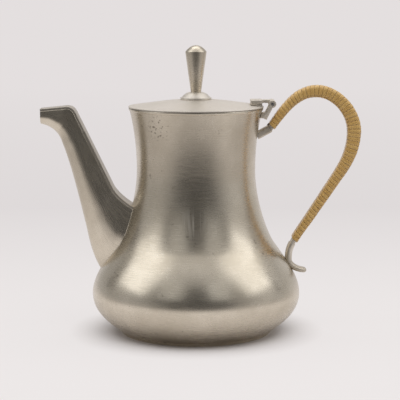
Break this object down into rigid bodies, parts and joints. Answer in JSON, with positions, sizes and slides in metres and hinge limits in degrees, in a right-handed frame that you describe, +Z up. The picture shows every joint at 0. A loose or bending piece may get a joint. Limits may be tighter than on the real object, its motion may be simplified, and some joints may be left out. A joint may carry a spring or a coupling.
{
  "type": "coffee pot",
  "caption": "Pear-shaped pewter coffee pot with a channel spout, a shallow hinged lid with a turned finial, and a bent metal handle wound with split cane.",
  "frame": {"origin": "centre of the flat underside, on the body's axis, where the pot stands", "axes": "+Z up along the body's axis, +X towards the handle and the hinge, -X towards the spout, +Y along the hinge pin"},
  "size_m": [0.2225, 0.1454, 0.2005],
  "materials": {
    "pewter": "satin, finely brushed",
    "cane": "smooth, lightly varnished",
    "steel": "plain turned"
  },
  "bodies": {
    "pot": {"body_upper": "pewter", "body_lower": "pewter", "base_plate": "pewter", "spout_channel": "pewter", "spout_back_plate": "pewter", "spout_strainer": "pewter", "handle_bar": "pewter", "cane_wrap": "cane", "hinge_body_leaf": "pewter", "hinge_pin": "steel"},
    "lid": {"hinge_lid_leaf": "pewter", "lid_plate": "pewter", "lid_bezel": "pewter", "finial_rosette": "pewter", "finial_knob": "pewter", "finial_stud": "steel", "finial_washer": "steel", "finial_nut": "steel"}
  },
  "joints": [
    {"name": "lid_hinge", "type": "hinge", "parent": "pot", "child": "lid", "pos_m": [0.0528, 0, 0.1603], "axis": [0, 1, 0], "range_deg": [0, 105]}
  ]
}
